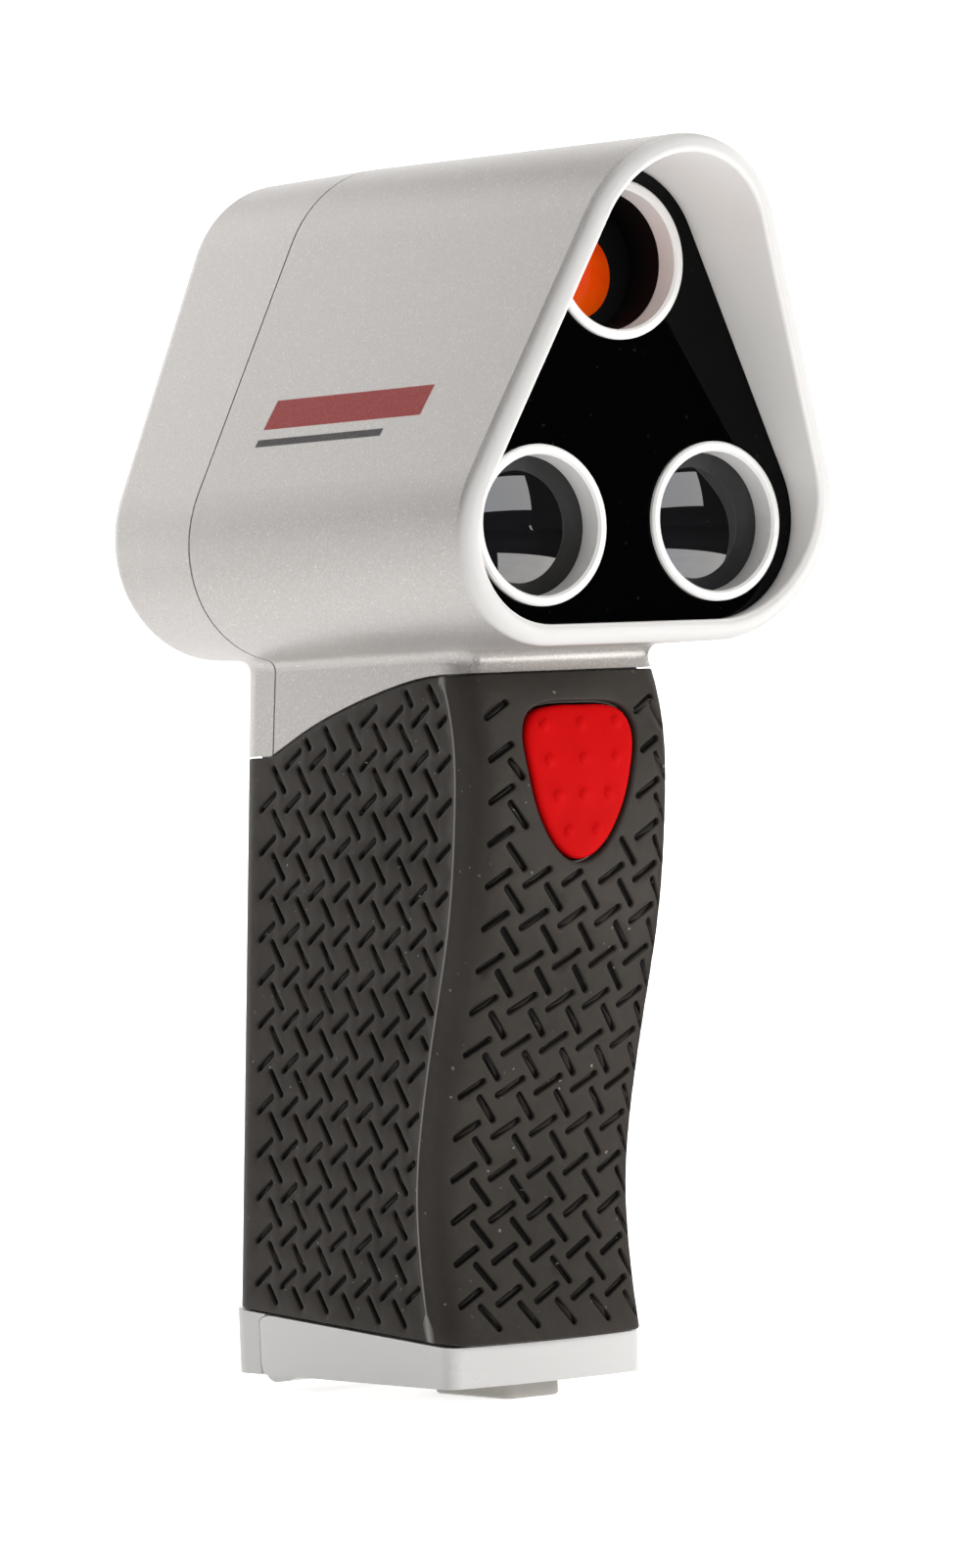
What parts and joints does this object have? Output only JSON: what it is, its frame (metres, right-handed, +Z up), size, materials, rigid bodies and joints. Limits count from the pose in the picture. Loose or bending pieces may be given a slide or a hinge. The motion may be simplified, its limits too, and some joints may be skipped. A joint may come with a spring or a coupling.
{
  "type": "hand-held laser range finder",
  "caption": "Pistol-grip laser range finder with a rounded triangular head, lenses and an aiming sight, a red trigger, a treaded rubber grip and a hinged battery door in its foot.",
  "frame": {"origin": "centre of the overall box in X and Y, at the underside of the latch block that is the lowest face", "axes": "+X towards the receiver lens (the right side seen from the front), +Y from the lenses towards the eyepiece, +Z up"},
  "size_m": [0.07, 0.1103, 0.1899],
  "materials": {
    "housing_silver": "satin warm silver-white moulding with a fine pearl fleck",
    "trim_white": "smooth white moulding",
    "bezel_black": "piano black panel",
    "lens_dark": "dark coated lens",
    "filter_orange": "orange coated sight element",
    "black_plastic": "fine matt black",
    "window_clear": "clear flat window",
    "grip_rubber": "charcoal rubber with tread slots",
    "trigger_red": "soft red moulding",
    "latch_grey": "warm grey moulding",
    "board_green": "solder-masked board",
    "chip_black": "moulded component bodies",
    "metal_can": "stamped steel",
    "spring_steel": "bright spring wire",
    "switch_black": "switch body",
    "display_grey": "liquid crystal panel",
    "cable_film": "amber flat cable",
    "battery_wrap": "printed sleeve, plain",
    "lead_insulation": "wire insulation",
    "foam_grey": "closed cell foam",
    "screw_steel": "zinc plated screw"
  },
  "bodies": {
    "housing": {"front_housing": "housing_silver", "rear_housing": "housing_silver", "lens_bezel": "bezel_black", "sight_ring": "trim_white", "emitter_ring": "trim_white", "receiver_ring": "trim_white", "emitter_lens": "lens_dark", "receiver_lens": "lens_dark", "emitter_barrel": "black_plastic", "receiver_barrel": "black_plastic", "laser_diode": "metal_can", "photodiode": "metal_can", "sight_tube": "black_plastic", "sight_filter": "filter_orange", "eyepiece": "black_plastic", "eyepiece_glass": "window_clear", "main_board": "board_green", "board_chips": "chip_black", "display_cable": "cable_film", "display_board": "board_green", "display_panel": "display_grey", "display_window": "window_clear", "mode_switch": "switch_black", "grip_sleeve": "grip_rubber", "trigger_spring": "spring_steel", "trigger_switch": "switch_black", "switch_board": "board_green", "battery": "battery_wrap", "battery_cradle": "black_plastic", "battery_connector": "switch_black", "battery_leads": "lead_insulation", "hinge_pin": "screw_steel", "housing_screws": "screw_steel"},
    "trigger": {"trigger": "trigger_red"},
    "mode_button": {"mode_button": "trigger_red"},
    "battery_door": {"battery_door": "trim_white", "battery_pad": "foam_grey", "latch_spring": "spring_steel"},
    "door_latch": {"door_latch": "latch_grey"}
  },
  "joints": [
    {"name": "trigger_press", "type": "slide", "parent": "housing", "child": "trigger", "axis": [0, 1, 0], "range_m": [0, 0.0018], "stiffness_N_per_m": 600, "springref_m": -0.003, "deforming": ["trigger_spring"]},
    {"name": "mode_button_press", "type": "slide", "parent": "housing", "child": "mode_button", "axis": [0, -1, 0], "range_m": [0, 0.0008], "stiffness_N_per_m": 1500, "springref_m": -0.0006},
    {"name": "battery_door_swing", "type": "hinge", "parent": "housing", "child": "battery_door", "pos_m": [0, 0.0426, 0.0052], "axis": [1, 0, 0], "range_deg": [0, 95]},
    {"name": "latch_slide", "type": "slide", "parent": "battery_door", "child": "door_latch", "axis": [0, 1, 0], "range_m": [0, 0.003], "stiffness_N_per_m": 250, "springref_m": -0.004, "deforming": ["latch_spring"]}
  ]
}
